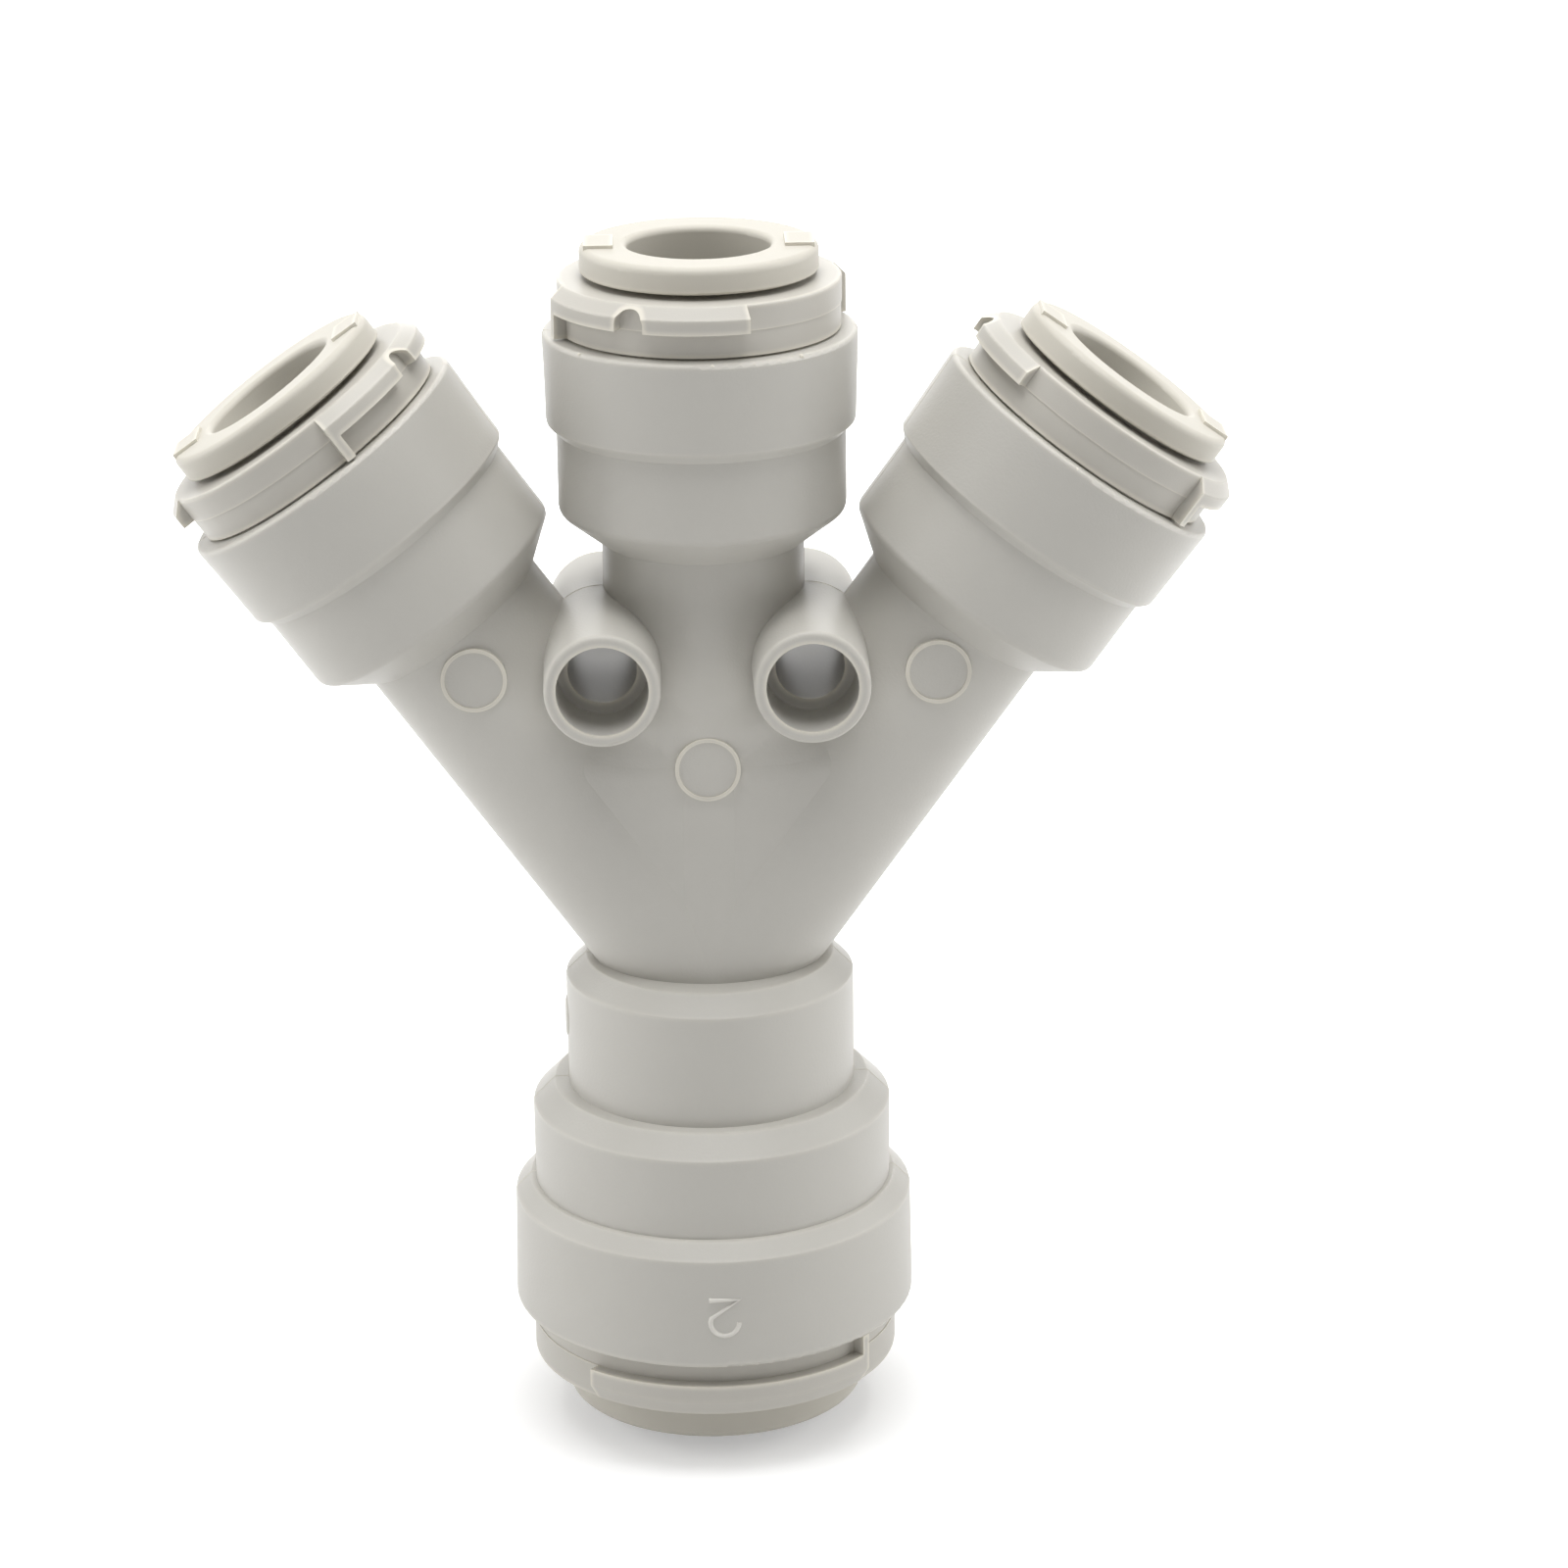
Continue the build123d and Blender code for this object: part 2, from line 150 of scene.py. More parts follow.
def make_floor():
    """Pale paper: it keeps the shadow near the fitting, and is plain white further out."""
    mesh = bpy.data.meshes.new("floor")
    half = FLOOR_HALF
    corners = [(-half, -half), (half, -half), (half, half), (-half, half)]
    mesh.from_pydata([(x, y, -FLOOR_DROP) for x, y in corners], [], [(0, 1, 2, 3)])
    floor = put_in_scene("floor", mesh)
    material = bpy.data.materials.new("floor_paper")
    material.use_nodes = True
    tree = material.node_tree
    shader = tree.nodes["Principled BSDF"]
    shader.inputs["Base Color"].default_value = (PAPER_WHITE, PAPER_WHITE, PAPER_WHITE, 1)
    shader.inputs["Roughness"].default_value = 0.9
    shader.inputs["Specular IOR Level"].default_value = 0.0
    glow = tree.nodes.new("ShaderNodeEmission")
    place = tree.nodes.new("ShaderNodeTexCoord")
    distance = tree.nodes.new("ShaderNodeVectorMath")
    distance.operation = "LENGTH"
    tree.links.new(place.outputs["Object"], distance.inputs[0])
    lift = tree.nodes.new("ShaderNodeMapRange")
    lift.interpolation_type = "SMOOTHSTEP"
    lift.inputs["From Min"].default_value = SHADOW_REACH
    lift.inputs["From Max"].default_value = WHITE_REACH
    lift.inputs["To Min"].default_value = PAPER_LIFT
    lift.inputs["To Max"].default_value = 1.0
    tree.links.new(distance.outputs["Value"], lift.inputs["Value"])
    strength = tree.nodes.new("ShaderNodeMath")
    strength.operation = "MULTIPLY"
    tree.links.new(lift.outputs[0], strength.inputs[1])
    tree.links.new(seen_directly(tree), strength.inputs[0])
    tree.links.new(strength.outputs[0], glow.inputs["Strength"])
    both = tree.nodes.new("ShaderNodeAddShader")
    tree.links.new(shader.outputs[0], both.inputs[0])
    tree.links.new(glow.outputs[0], both.inputs[1])
    tree.links.new(both.outputs[0], tree.nodes["Material Output"].inputs["Surface"])
    mesh.materials.append(material)


def make_lamp(name, place, side, power):
    """A square soft lamp at place that faces the fitting."""
    data = bpy.data.lights.new(name, "AREA")
    data.shape = "RECTANGLE"
    data.size = side
    data.size_y = side
    data.energy = power
    lamp = put_in_scene(name, data)
    lamp.location = place
    lamp.rotation_euler = (Vector(LAMP_AIM) - Vector(place)).to_track_quat("-Z", "Y").to_euler()


make_world()
make_floor()
for lamp_values in LAMPS:
    make_lamp(*lamp_values)

# ---------------------------------------------------------------- effects

GRAIN_HEIGHT = 0.02 * MM
CLOUD_PITCH = 4 * MM
PATCHINESS = 0.12             # how far the roughness swings with the clouds
EDGE_AO_STARTS = 0.98         # a surface's open share, seen from inside, near an edge
EDGE_AO_FULL = 0.55
EDGE_AO_RAYS = 12


def new_group(name, inputs, outputs):
    """An empty shader group with named sockets: (name, type, default) and (name, type)."""
    tree = bpy.data.node_groups.new(name, "ShaderNodeTree")
    for label, kind, default in inputs:
        socket = tree.interface.new_socket(label, in_out="INPUT", socket_type=kind)
        socket.default_value = default
    for label, kind in outputs:
        tree.interface.new_socket(label, in_out="OUTPUT", socket_type=kind)
    return tree, tree.nodes.new("NodeGroupInput"), tree.nodes.new("NodeGroupOutput")


def mould_grain_group():
    """Fine spark-eroded grain of a moulded face, with slow cloudiness in the colour."""
    tree, given, result = new_group(
        "mould_grain",
        [
            ("Colour", "NodeSocketColor", (0.6, 0.58, 0.53, 1)),
            ("Grain Size", "NodeSocketFloat", 0.12 * MM),
            ("Grain Depth", "NodeSocketFloat", 0.25),
            ("Cloudiness", "NodeSocketFloat", 0.04),
            ("Roughness", "NodeSocketFloat", 0.42),
        ],
        [("Colour", "NodeSocketColor"), ("Roughness", "NodeSocketFloat"), ("Normal", "NodeSocketVector")],
    )
    nodes, links = tree.nodes, tree.links
    place = nodes.new("ShaderNodeTexCoord").outputs["Object"]
    pitch = nodes.new("ShaderNodeMath")
    pitch.operation = "DIVIDE"
    pitch.inputs[0].default_value = 1.0
    links.new(given.outputs["Grain Size"], pitch.inputs[1])
    grain = nodes.new("ShaderNodeTexNoise")
    grain.inputs["Detail"].default_value = 2.0
    links.new(place, grain.inputs["Vector"])
    links.new(pitch.outputs[0], grain.inputs["Scale"])
    bump = nodes.new("ShaderNodeBump")
    bump.inputs["Distance"].default_value = GRAIN_HEIGHT
    links.new(given.outputs["Grain Depth"], bump.inputs["Strength"])
    links.new(grain.outputs["Fac"], bump.inputs["Height"])
    clouds = nodes.new("ShaderNodeTexNoise")
    clouds.inputs["Scale"].default_value = 1 / CLOUD_PITCH
    clouds.inputs["Detail"].default_value = 3.0
    links.new(place, clouds.inputs["Vector"])
    centred = nodes.new("ShaderNodeMath")
    centred.operation = "SUBTRACT"
    centred.inputs[1].default_value = 0.5
    links.new(clouds.outputs["Fac"], centred.inputs[0])
    swing = nodes.new("ShaderNodeMath")
    swing.operation = "MULTIPLY"
    links.new(centred.outputs[0], swing.inputs[0])
    links.new(given.outputs["Cloudiness"], swing.inputs[1])
    level = nodes.new("ShaderNodeMath")
    level.operation = "ADD"
    level.inputs[1].default_value = 1.0
    links.new(swing.outputs[0], level.inputs[0])
    shade = nodes.new("ShaderNodeVectorMath")
    shade.operation = "SCALE"
    links.new(given.outputs["Colour"], shade.inputs[0])
    links.new(level.outputs[0], shade.inputs["Scale"])
    links.new(shade.outputs[0], result.inputs["Colour"])
    patchy = nodes.new("ShaderNodeMath")
    patchy.operation = "MULTIPLY_ADD"
    patchy.inputs[1].default_value = PATCHINESS
    links.new(centred.outputs[0], patchy.inputs[0])
    links.new(given.outputs["Roughness"], patchy.inputs[2])
    links.new(patchy.outputs[0], result.inputs["Roughness"])
    links.new(bump.outputs[0], result.inputs["Normal"])
    return tree


def painted_edge_highlight_group():
    """Painted highlight: outer edges are mixed towards a paler colour that stands for the light they
    catch. Width is how far in from an edge the painted highlight reaches.
    """
    tree, given, result = new_group(
        "painted_edge_highlight",
        [
            ("Colour", "NodeSocketColor", (0.6, 0.58, 0.53, 1)),
            ("Highlight Colour", "NodeSocketColor", (0.8, 0.77, 0.7, 1)),
            ("Width", "NodeSocketFloat", 0.27 * MM),
            ("Amount", "NodeSocketFloat", 1.0),
        ],
        [("Colour", "NodeSocketColor")],
    )
    nodes, links = tree.nodes, tree.links
    # Painted highlight mask: occlusion seen from inside finds the convex edges
    inner = nodes.new("ShaderNodeAmbientOcclusion")
    inner.inside = True
    inner.only_local = True
    inner.samples = EDGE_AO_RAYS
    links.new(given.outputs["Width"], inner.inputs["Distance"])
    edge = nodes.new("ShaderNodeMapRange")
    edge.inputs["From Min"].default_value = EDGE_AO_STARTS
    edge.inputs["From Max"].default_value = EDGE_AO_FULL
    links.new(inner.outputs["AO"], edge.inputs["Value"])
    share = nodes.new("ShaderNodeMath")
    share.operation = "MULTIPLY"
    links.new(edge.outputs[0], share.inputs[0])
    links.new(given.outputs["Amount"], share.inputs[1])
    mix = nodes.new("ShaderNodeMix")
    mix.data_type = "RGBA"
    links.new(share.outputs[0], mix.inputs["Factor"])
    links.new(given.outputs["Colour"], mix.inputs["A"])
    links.new(given.outputs["Highlight Colour"], mix.inputs["B"])
    links.new(mix.outputs["Result"], result.inputs["Colour"])
    return tree


MOULD_GRAIN = mould_grain_group()
PAINTED_EDGE_HIGHLIGHT = painted_edge_highlight_group()

# ---------------------------------------------------------------- materials

# Painted highlight colour for outer edges, standing for the light their rounding catches
EDGE_HIGHLIGHT_COLOUR = (0.8, 0.76, 0.66)
ACETAL_IOR = 1.48
ACETAL_GLOSS = 0.4
STREAK_PITCH = 0.2 * MM
BLOOM_PITCH = 1.5 * MM


def plastic(name, colour, roughness, grain_size, grain_depth, highlight_amount):
    """Moulded acetal: slightly waxy, with the mould's grain, and edges made paler by a painted highlight.
    """
    material = bpy.data.materials.new(name)
    material.use_nodes = True
    tree = material.node_tree
    shader = tree.nodes["Principled BSDF"]
    grain = tree.nodes.new("ShaderNodeGroup")
    grain.node_tree = MOULD_GRAIN
    grain.inputs["Colour"].default_value = (*colour, 1)
    grain.inputs["Grain Size"].default_value = grain_size
    grain.inputs["Grain Depth"].default_value = grain_depth
    grain.inputs["Roughness"].default_value = roughness
    # Painted highlight on the outer edges
    edge = tree.nodes.new("ShaderNodeGroup")
    edge.node_tree = PAINTED_EDGE_HIGHLIGHT
    edge.inputs["Highlight Colour"].default_value = (*EDGE_HIGHLIGHT_COLOUR, 1)
    edge.inputs["Amount"].default_value = highlight_amount
    tree.links.new(grain.outputs["Colour"], edge.inputs["Colour"])
    tree.links.new(edge.outputs["Colour"], shader.inputs["Base Color"])
    tree.links.new(grain.outputs["Roughness"], shader.inputs["Roughness"])
    tree.links.new(grain.outputs["Normal"], shader.inputs["Normal"])
    shader.inputs["IOR"].default_value = ACETAL_IOR
    shader.inputs["Specular IOR Level"].default_value = ACETAL_GLOSS
    return material


def steel():
    """Stamped stainless strip with a faint brushed streak."""
    material = bpy.data.materials.new("tooth_steel")
    material.use_nodes = True
    tree = material.node_tree
    shader = tree.nodes["Principled BSDF"]
    shader.inputs["Metallic"].default_value = 1.0
    shader.inputs["Base Color"].default_value = (0.62, 0.61, 0.6, 1)
    streak = tree.nodes.new("ShaderNodeTexNoise")
    streak.inputs["Scale"].default_value = 1 / STREAK_PITCH
    place = tree.nodes.new("ShaderNodeTexCoord")
    tree.links.new(place.outputs["Object"], streak.inputs["Vector"])
    spread = tree.nodes.new("ShaderNodeMapRange")
    spread.inputs["To Min"].default_value = 0.25
    spread.inputs["To Max"].default_value = 0.45
    tree.links.new(streak.outputs["Fac"], spread.inputs["Value"])
    tree.links.new(spread.outputs[0], shader.inputs["Roughness"])
    return material


def rubber():
    """Black seal rubber with a slight bloom."""
    material = bpy.data.materials.new("seal_rubber")
    material.use_nodes = True
    tree = material.node_tree
    shader = tree.nodes["Principled BSDF"]
    bloom = tree.nodes.new("ShaderNodeTexNoise")
    bloom.inputs["Scale"].default_value = 1 / BLOOM_PITCH
    place = tree.nodes.new("ShaderNodeTexCoord")
    tree.links.new(place.outputs["Object"], bloom.inputs["Vector"])
    ramp = tree.nodes.new("ShaderNodeValToRGB")
    ramp.color_ramp.elements[0].color = (0.015, 0.015, 0.016, 1)
    ramp.color_ramp.elements[1].color = (0.035, 0.035, 0.036, 1)
    tree.links.new(bloom.outputs["Fac"], ramp.inputs["Fac"])
    tree.links.new(ramp.outputs["Color"], shader.inputs["Base Color"])
    shader.inputs["Roughness"].default_value = 0.5
    return material


# name, colour, roughness, grain size, grain depth, share of the painted edge highlight colour
HOUSING = plastic("housing_acetal", (0.54, 0.525, 0.485), 0.42, 0.14 * MM, 0.5, highlight_amount=0.75)
CAP = plastic("cap_acetal", (0.53, 0.51, 0.463), 0.42, 0.1 * MM, 0.25, highlight_amount=0.7)
COLLET = plastic("collet_acetal", (0.565, 0.54, 0.475), 0.5, 0.1 * MM, 0.2, highlight_amount=0.7)
# The digit's paler colour is a painted highlight, for the light its raised strokes catch
PAINTED_HIGHLIGHT_DIGIT = plastic("digit_acetal_painted_highlight", (0.72, 0.7, 0.65), 0.34, 0.1 * MM, 0.1, highlight_amount=0.0)
TEETH = steel()
SEAL = rubber()

FINISHES = {
    "body": HOUSING,
    "retaining_cap": CAP,
    "release_collet": COLLET,
    "grip_teeth": TEETH,
    "o_ring": SEAL,
}


def dress(node, material):
    """Gives a CAD node its material."""
    node.data.materials.clear()
    node.data.materials.append(material)


for name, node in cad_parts.items():
    for kind, material in FINISHES.items():
        if name.startswith(kind):
            dress(node, material)

# ---------------------------------------------------------------- what the mould leaves

# Sizes of the body that these pieces follow, as in the model
RING_1_RADIUS = 6.88 * MM
RING_3_RADIUS = 9.674 * MM
CUP_RIM_RADIUS = 7.28 * MM
NECK_RADIUS = 4.7 * MM
WEB_FRONT = math.sqrt(4.7**2 - 1.2**2) * MM   # half the web's thickness
WEB_HEIGHT = 13.2 * MM
WEB_ROUND = 3.4 * MM
BOSS_HEIGHT = 15.28 * MM
BOSS_OFFSET = 4.795 * MM
BOSS_CORE_RADIUS = 2.5 * MM   # the screw hole and the step round it
OUTLET_LEANS = {"left": -BRANCH_ANGLE, "middle": 0.0, "right": BRANCH_ANGLE}

GATE_DROP = 3.55 * MM         # below the fork
GATE_RADIUS = 1.0 * MM
GATE_PROUD = 0.1 * MM
GATE_ROOT = 0.3 * MM          # depth of its hidden foot
GATE_PROFILE = ((1.0, 0.0), (0.93, 0.6), (0.8, 0.9), (0.5, 1.0), (0.2, 1.0))
GATE_STEPS = 48
DIGIT_AZIMUTH = math.radians(272)
DIGIT_DROP = 15.27 * MM
DIGIT_HEIGHT = 1.83 * MM
DIGIT_WIDTH = 1.36 * MM
DIGIT_STROKE = 0.13 * MM      # radius of the stroke's bead
DIGIT_PROUD = 0.05 * MM
DIGIT_ARC = [math.radians(178 - 18 * step) for step in range(12)]
DIGIT_FOOT = 1.08             # the foot's reach, as a share of the bowl's
PARTING_Y = -0.03 * MM
RIDGE_RADIUS = 0.016 * MM
NIB_RADIUS = 0.11 * MM
NIB_INSET = 0.12 * MM         # in from the rim's outside
NIB_SINK = 0.08 * MM
NIB_AZIMUTHS = {"middle": (220.0, 273.6, 308.6), "right": (262.0, 96.0), "left": (75.0,)}

# Where the mould's cores reach, with room round them: cap seat, its depth, passage
OUTLET_CORE = (6.3 * MM, 4.25 * MM, 3.51 * MM)
INLET_CORE = (8.4 * MM, 4.75 * MM, 4.98 * MM)
GLAND_STEP = 1.1 * MM
SOCKET_DEPTH = 7.4 * MM
PASSAGE_END = -5 * MM         # past the fork

# The blends between the web and the middle tube, upwards from the fork
BLEND_FOOT = 8.8 * MM
BLEND_FULL = 13.4 * MM
BLEND_HALF_WIDTH = 7.6 * MM
BLEND_CENTRE = 2.6 * MM       # full inside this, beside the middle
BLEND_SIDE = 6.4 * MM         # nothing outside this
BLEND_RING = 2.4 * MM         # round a screw hole, inside the boss's wall
BLEND_CORE = 3.2 * MM         # its hidden inner face
BLEND_SINK = 0.02 * MM        # under the surface where it adds nothing
BLEND_SHOWS = 0.08 * MM       # has risen from that sink by here
BLEND_DROP = 1.3 * MM
BLEND_DROP_FROM = 12 * MM
BLEND_DROP_TO = 15.6 * MM
BLEND_SHARP = 0.02 * MM
BLEND_SOFT = 0.6 * MM
BLEND_SOFT_FROM = 9.8 * MM
BLEND_SOFT_TO = 12.5 * MM
BLEND_COLUMNS = 120
BLEND_ROWS = 64


def round_trunk(azimuth, radius, drop):
    """A point beside the trunk, below the fork."""
    return JUNCTION + Vector((radius * math.cos(azimuth), radius * math.sin(azimuth), -drop))


def round_outlet(lean, azimuth, radius, reach):
    """A point beside an outlet: round its axis from its +X side, and along it from the fork."""
    outwards = Vector((math.sin(lean), 0, math.cos(lean)))
    across = Vector((math.cos(lean), 0, -math.sin(lean)))
    sideways = across * math.cos(azimuth) + Vector((0, math.sin(azimuth), 0))
    return JUNCTION + outwards * reach + sideways * radius


def new_shape_tree(name, inputs):
    """An empty Geometry Nodes tree: geometry in, the named inputs, geometry out."""
    tree = bpy.data.node_groups.new(name, "GeometryNodeTree")
    tree.interface.new_socket("Geometry", in_out="INPUT", socket_type="NodeSocketGeometry")
    for label, kind in inputs:
        tree.interface.new_socket(label, in_out="INPUT", socket_type=kind)
    tree.interface.new_socket("Geometry", in_out="OUTPUT", socket_type="NodeSocketGeometry")
    return tree, tree.nodes.new("NodeGroupInput"), tree.nodes.new("NodeGroupOutput")


def end_tree(tree, given, result, shape):
    """Realize Instances and Set Material, as the last steps of a tree."""
    real = tree.nodes.new("GeometryNodeRealizeInstances")
    finish = tree.nodes.new("GeometryNodeSetMaterial")
    tree.links.new(shape, real.inputs[0])
    tree.links.new(real.outputs[0], finish.inputs["Geometry"])
    tree.links.new(given.outputs["Material"], finish.inputs["Material"])
    tree.links.new(finish.outputs[0], result.inputs[0])


def bead_tree():
    """A round bead along every chain of edges."""
    tree, given, result = new_shape_tree(
        "bead_along_edges", [("Radius", "NodeSocketFloat"), ("Material", "NodeSocketMaterial")]
    )
    path = tree.nodes.new("GeometryNodeMeshToCurve")
    section = tree.nodes.new("GeometryNodeCurvePrimitiveCircle")
    section.inputs["Resolution"].default_value = 8
    bead = tree.nodes.new("GeometryNodeCurveToMesh")
    bead.inputs["Fill Caps"].default_value = True
    tree.links.new(given.outputs["Geometry"], path.inputs["Mesh"])
    tree.links.new(given.outputs["Radius"], section.inputs["Radius"])
    tree.links.new(path.outputs[0], bead.inputs["Curve"])
    tree.links.new(section.outputs["Curve"], bead.inputs["Profile Curve"])
    end_tree(tree, given, result, bead.outputs[0])
    return tree


def nib_tree():
    """A small rounded nib at every point, each of its own size."""
    tree, given, result = new_shape_tree(
        "nib_at_points", [("Radius", "NodeSocketFloat"), ("Material", "NodeSocketMaterial")]
    )
    nib = tree.nodes.new("GeometryNodeMeshIcoSphere")
    nib.inputs["Subdivisions"].default_value = 3
    size = tree.nodes.new("FunctionNodeRandomValue")
    size.data_type = "FLOAT"
    size.inputs["Min"].default_value = 0.75
    size.inputs["Max"].default_value = 1.15
    size.inputs["Seed"].default_value = 4
    place = tree.nodes.new("GeometryNodeInstanceOnPoints")
    tree.links.new(given.outputs["Radius"], nib.inputs["Radius"])
    tree.links.new(given.outputs["Geometry"], place.inputs["Points"])
    tree.links.new(nib.outputs["Mesh"], place.inputs["Instance"])
    tree.links.new(size.outputs["Value"], place.inputs["Scale"])
    end_tree(tree, given, result, place.outputs[0])
    return tree


def grow(name, tree, points, edges, sizes):
    """Runs a tree on points and edges, and keeps what it makes as a plain mesh object."""
    mesh = bpy.data.meshes.new(name + "_path")
    mesh.from_pydata([tuple(point) for point in points], edges, [])
    seed = put_in_scene(name + "_path", mesh)
    modifier = seed.modifiers.new("grow", "NODES")
    modifier.node_group = tree
    for socket in tree.interface.items_tree:
        if socket.in_out == "INPUT" and socket.name in sizes:
            modifier[socket.identifier] = sizes[socket.name]
    graph = bpy.context.evaluated_depsgraph_get()
    grown = bpy.data.meshes.new_from_object(seed.evaluated_get(graph))
    bpy.data.objects.remove(seed)
    grown.name = name
    smooth(grown)
    return put_in_scene(name, grown)


def keep_on_body(piece):
    """The piece moves with the moulded body."""
    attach(piece, "divider")


BEAD = bead_tree()
NIB = nib_tree()


def make_cavity_digit():
    """The mould cavity's digit, upside down on the lowest ring, a hair proud of it."""
    bowl = DIGIT_WIDTH / 2
    bowl_height = DIGIT_HEIGHT / 2 - bowl
    page = [(bowl * math.cos(turn), bowl_height + bowl * math.sin(turn)) for turn in DIGIT_ARC]
    page += [(-bowl, -DIGIT_HEIGHT / 2), (bowl * DIGIT_FOOT, -DIGIT_HEIGHT / 2)]
    radius = RING_3_RADIUS - DIGIT_STROKE + DIGIT_PROUD
    places = []
    for across, up in page:
        places.append(round_trunk(DIGIT_AZIMUTH - across / radius, radius, DIGIT_DROP + up))
    strokes = [(step, step + 1) for step in range(len(places) - 1)]
    sizes = {"Radius": DIGIT_STROKE, "Material": PAINTED_HIGHLIGHT_DIGIT}
    keep_on_body(grow("cavity_digit", BEAD, places, strokes, sizes))


def make_rim_nibs():
    """Tiny lumps of flash where the mould leaked at the mouths' rims."""
    places = []
    radius = CUP_RIM_RADIUS - NIB_INSET
    reach = OUTLET_REACH - NIB_SINK
    for outlet, azimuths in NIB_AZIMUTHS.items():
        for azimuth in azimuths:
            places.append(round_outlet(OUTLET_LEANS[outlet], math.radians(azimuth), radius, reach))
    keep_on_body(grow("rim_nibs", NIB, places, [], {"Radius": NIB_RADIUS, "Material": HOUSING}))


def finish_body_piece(name, shape):
    """Turns a bmesh into a smooth, outward-facing piece of the housing."""
    bmesh.ops.recalc_face_normals(shape, faces=shape.faces)
    mesh = bpy.data.meshes.new(name)
    shape.to_mesh(mesh)
    shape.free()
    smooth(mesh)
    mesh.materials.append(HOUSING)
    keep_on_body(put_in_scene(name, mesh))


def make_gate_mark():
    """The round stub that the mould's gate leaves on the upper ring, cut nearly flush."""
    shape = bmesh.new()
    rings = [(GATE_RADIUS, -GATE_ROOT)]
    rings += [(GATE_RADIUS * reach, GATE_PROUD * height) for reach, height in GATE_PROFILE]
    loops = []
    for radius, proud in rings:
        loop = []
        for step in range(GATE_STEPS):
            turn = 2 * math.pi * step / GATE_STEPS
            across = radius * math.cos(turn)
            up = radius * math.sin(turn)
            stand = math.sqrt(RING_1_RADIUS**2 - across**2)
            place = JUNCTION + Vector((-stand - proud, across, up - GATE_DROP))
            loop.append(shape.verts.new(place))
        loops.append(loop)
    for outer, inner in zip(loops, loops[1:]):
        for step in range(GATE_STEPS):
            after = (step + 1) % GATE_STEPS
            shape.faces.new((outer[step], outer[after], inner[after], inner[step]))
    shape.faces.new(loops[-1])
    shape.faces.new(list(reversed(loops[0])))
    finish_body_piece("gate_mark", shape)


def inside_a_bore(point):
    """True in the passages and sockets, which the mould's cores make and not its halves."""
    ports = [(lean, OUTLET_REACH, *OUTLET_CORE) for lean in OUTLET_LEANS.values()]
    ports.append((math.pi, INLET_REACH, *INLET_CORE))
    for lean, reach, seat, depth, passage in ports:
        outwards = Vector((math.sin(lean), 0, math.cos(lean)))
        along = (point - JUNCTION).dot(outwards)
        aside = (point - JUNCTION - outwards * along).length
        widest = seat if along > reach - depth else seat - GLAND_STEP
        if along > reach - SOCKET_DEPTH and aside < widest:
            return True
        if PASSAGE_END < along <= reach - SOCKET_DEPTH and aside < passage:
            return True
    return False


def inside_a_boss(point):
    """True in the screw holes and the step round them."""
    up = point.z - JUNCTION.z - BOSS_HEIGHT
    return math.hypot(abs(point.x) - BOSS_OFFSET, up) < BOSS_CORE_RADIUS


def make_parting_line():
    """The hair line of flash where the mould's halves meet, round the body's outline."""
    cut = bmesh.new()
    cut.from_mesh(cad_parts["body"].data)
    bmesh.ops.remove_doubles(cut, verts=cut.verts, dist=0.001 * MM)
    everything = cut.verts[:] + cut.edges[:] + cut.faces[:]
    sliced = bmesh.ops.bisect_plane(cut, geom=everything, plane_co=(0, PARTING_Y, 0), plane_no=(0, 1, 0))
    numbers = {}
    edges = []
    for line in sliced["geom_cut"]:
        if not isinstance(line, bmesh.types.BMEdge):
            continue
        if any(inside_a_bore(vert.co) or inside_a_boss(vert.co) for vert in line.verts):
            continue
        edges.append([numbers.setdefault(vert, len(numbers)) for vert in line.verts])
    places = [vert.co.copy() for vert in numbers]
    cut.free()
    sizes = {"Radius": RIDGE_RADIUS, "Material": HOUSING}
    keep_on_body(grow("parting_line", BEAD, places, edges, sizes))


def front_of_tube(offset):
    """How far a tube's surface stands from the middle plane, beside its axis by offset."""
    return math.sqrt(max(NECK_RADIUS**2 - offset**2, 0))


def smooth_max(one, other, width):
    """The larger of two heights, rounded where they cross."""
    overlap = max(width - abs(one - other), 0)
    return max(one, other) + overlap**2 / (4 * width)


def smooth_step(low, high, value):
    """0 below low and 1 above high, with a soft rise between."""
    share = min(max((value - low) / (high - low), 0), 1)
    return share * share * (3 - 2 * share)


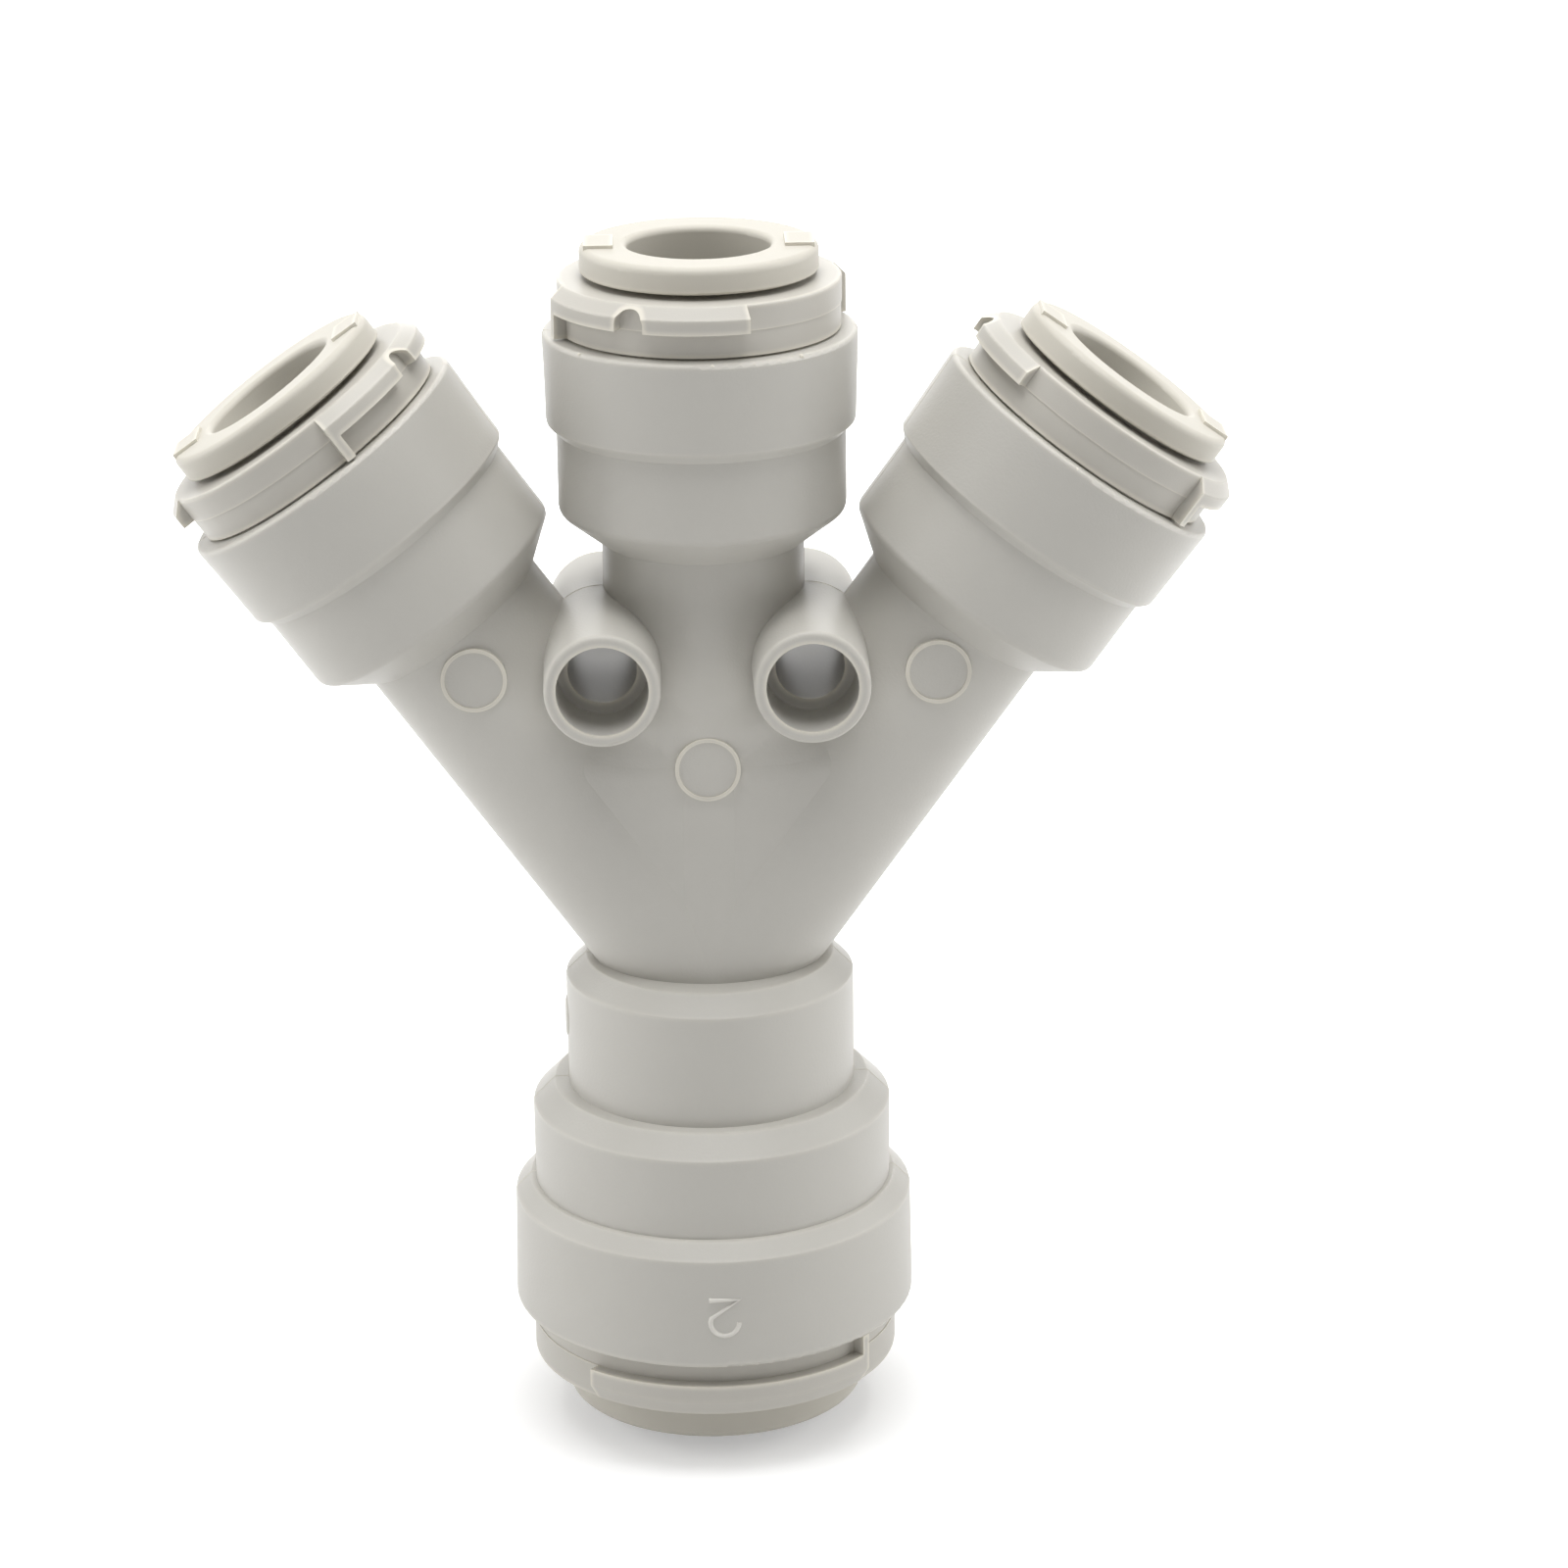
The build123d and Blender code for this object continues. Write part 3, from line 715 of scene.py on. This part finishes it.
def blend_stand(across, up):
    """How far a blend stands from the middle plane, across the middle and up from the fork."""
    slant = abs(across) * math.cos(BRANCH_ANGLE) - up * math.sin(BRANCH_ANGLE)
    tubes = max(front_of_tube(across), front_of_tube(slant))
    fall = max(up - (WEB_HEIGHT - WEB_ROUND), 0)
    web = WEB_FRONT - WEB_ROUND + math.sqrt(max(WEB_ROUND**2 - fall**2, 0))
    there = max(tubes, web)
    carried = WEB_FRONT - BLEND_DROP * smooth_step(BLEND_DROP_FROM, BLEND_DROP_TO, up)
    width = BLEND_SHARP + BLEND_SOFT * smooth_step(BLEND_SOFT_FROM, BLEND_SOFT_TO, up)
    share = 1 - smooth_step(BLEND_CENTRE, BLEND_SIDE, abs(across))
    share *= smooth_step(BLEND_FOOT, BLEND_FULL, up)
    gain = share * max(smooth_max(tubes, carried, width) - there, 0)
    return there + gain - BLEND_SINK * (1 - smooth_step(0, BLEND_SHOWS, gain))


def closed_sheet(outer, inner):
    """A bmesh between two grids of points, each a list of rows."""
    shape = bmesh.new()
    near = [[shape.verts.new(point) for point in row] for row in outer]
    far = [[shape.verts.new(point) for point in row] for row in inner]
    for grid in (near, far):
        for low_row, high_row in zip(grid, grid[1:]):
            for column in range(len(low_row) - 1):
                pair = high_row[column + 1], high_row[column]
                shape.faces.new((low_row[column], low_row[column + 1], *pair))
    rims = []
    for grid in (near, far):
        right = [row[-1] for row in grid[1:]]
        left = [row[0] for row in grid[-2:0:-1]]
        rims.append(grid[0] + right + grid[-1][-2::-1] + left)
    ends = [rim[1:] + rim[:1] for rim in rims]
    for start, end, far_start, far_end in zip(rims[0], ends[0], rims[1], ends[1]):
        shape.faces.new((end, start, far_start, far_end))
    return shape


def make_web_blend(name, side):
    """A soft shoulder that carries the flat web up between the bosses."""
    outer, inner = [], []
    for row in range(BLEND_ROWS + 1):
        outer_row, inner_row = [], []
        for column in range(BLEND_COLUMNS + 1):
            across = BLEND_HALF_WIDTH * (2 * column / BLEND_COLUMNS - 1)
            beside = abs(abs(across) - BOSS_OFFSET)
            top = BOSS_HEIGHT - math.sqrt(max(BLEND_RING**2 - beside**2, 0))
            up = BLEND_FOOT + (top - BLEND_FOOT) * row / BLEND_ROWS
            outer_row.append(JUNCTION + Vector((across, side * blend_stand(across, up), up)))
            inner_row.append(JUNCTION + Vector((across, side * BLEND_CORE, up)))
        outer.append(outer_row)
        inner.append(inner_row)
    finish_body_piece(name, closed_sheet(outer, inner))


make_web_blend("web_blend_front", -1)
make_web_blend("web_blend_back", 1)
make_cavity_digit()
make_rim_nibs()
make_gate_mark()
make_parting_line()

# ---------------------------------------------------------------- view transform

bpy.context.scene.view_settings.view_transform = "Standard"
